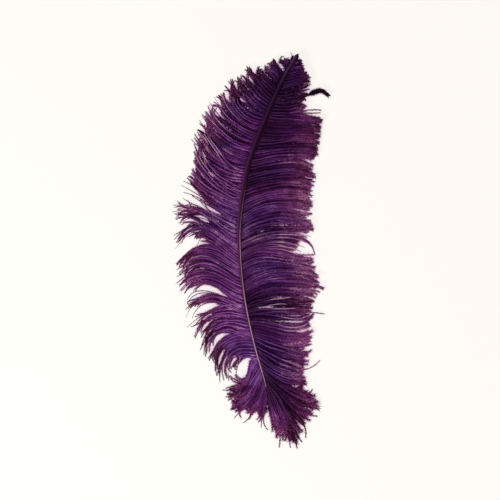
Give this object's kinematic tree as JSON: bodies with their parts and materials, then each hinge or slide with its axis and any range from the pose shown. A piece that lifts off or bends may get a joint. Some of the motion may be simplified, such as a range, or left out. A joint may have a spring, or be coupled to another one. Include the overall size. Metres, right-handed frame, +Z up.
{
  "type": "ostrich feather",
  "caption": "Curved dyed ostrich plume lying flat: a tapered shaft with parted locks of long loose barbs on both sides and a drooping tip, for display, millinery and craft trim.",
  "frame": {"origin": "centre of the feather's outline on the surface that it lies on", "axes": "+Y along the feather from its drooping tip toward its quill end, +Z up from the surface, +X toward the right vane"},
  "size_m": [0.1373, 0.3566, 0.0126],
  "materials": {
    "shaft_keratin": "dyed keratin, satin",
    "barb_keratin": "dyed keratin fibres, soft"
  },
  "bodies": {
    "root": {"shaft": "shaft_keratin", "barbs_left_1_base": "barb_keratin", "barbs_left_2_spiky": "barb_keratin", "barbs_left_3_arching": "barb_keratin", "barbs_left_4_middle": "barb_keratin", "barbs_left_5_lower": "barb_keratin", "barbs_left_6_drooping": "barb_keratin", "barbs_left_7_tip": "barb_keratin", "barbs_right_1_base": "barb_keratin", "barbs_right_2_upper": "barb_keratin", "barbs_right_3_middle": "barb_keratin", "barbs_right_4_lower": "barb_keratin", "barbs_right_5_tip": "barb_keratin", "stray_barb": "barb_keratin"}
  },
  "joints": []
}
